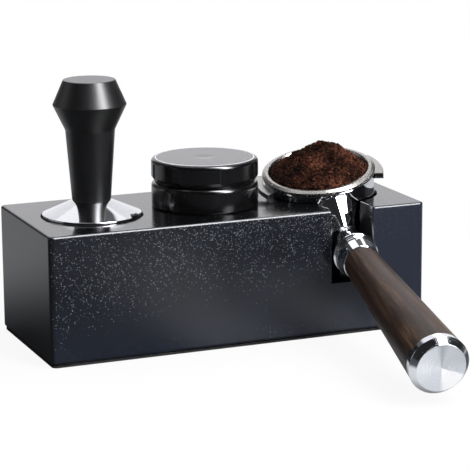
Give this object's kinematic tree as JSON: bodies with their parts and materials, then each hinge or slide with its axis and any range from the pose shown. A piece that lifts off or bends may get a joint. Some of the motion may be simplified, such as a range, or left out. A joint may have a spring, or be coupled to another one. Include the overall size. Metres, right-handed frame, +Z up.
{
  "type": "espresso tamping station",
  "caption": "Black moulded station box holding an espresso tamper, a coffee distributor and a leaning portafilter filled with ground coffee.",
  "frame": {"origin": "on the table, under the middle of the moulded box, at the centre of the rubber mat's lower face", "axes": "+X along the box from the tamper to the portafilter, +Y to the box's back, away from the portafilter's handle, +Z up"},
  "size_m": [0.234, 0.251, 0.1555],
  "materials": {
    "box_plastic": "satin",
    "plate_plastic": "matte",
    "mat_rubber": "matte",
    "fastener_steel": "satin",
    "polished_steel": "polished",
    "black_anodised": "satin",
    "bare_aluminium": "satin",
    "chromed_brass": "polished",
    "pressed_steel": "polished",
    "fibre": "matte",
    "walnut": "satin",
    "turned_aluminium": "satin",
    "ground_coffee": "matte"
  },
  "bodies": {
    "root": {"station_body": "box_plastic", "base_plate": "plate_plastic", "base_mat": "mat_rubber", "plate_screws": "fastener_steel", "tamper_base": "polished_steel", "tamper_grip": "black_anodised", "tamper_stud": "fastener_steel", "distributor_puck": "polished_steel", "distributor_hub": "bare_aluminium", "distributor_screw": "fastener_steel", "distributor_collar": "black_anodised", "distributor_cap": "black_anodised", "portafilter_body": "chromed_brass", "filter_basket": "pressed_steel", "basket_spring": "fastener_steel", "spout_washer": "fibre", "spout": "chromed_brass", "handle_ferrule": "chromed_brass", "handle_wood": "walnut", "handle_rod": "fastener_steel", "handle_end_cap": "turned_aluminium", "coffee_grounds": "ground_coffee"}
  },
  "joints": []
}
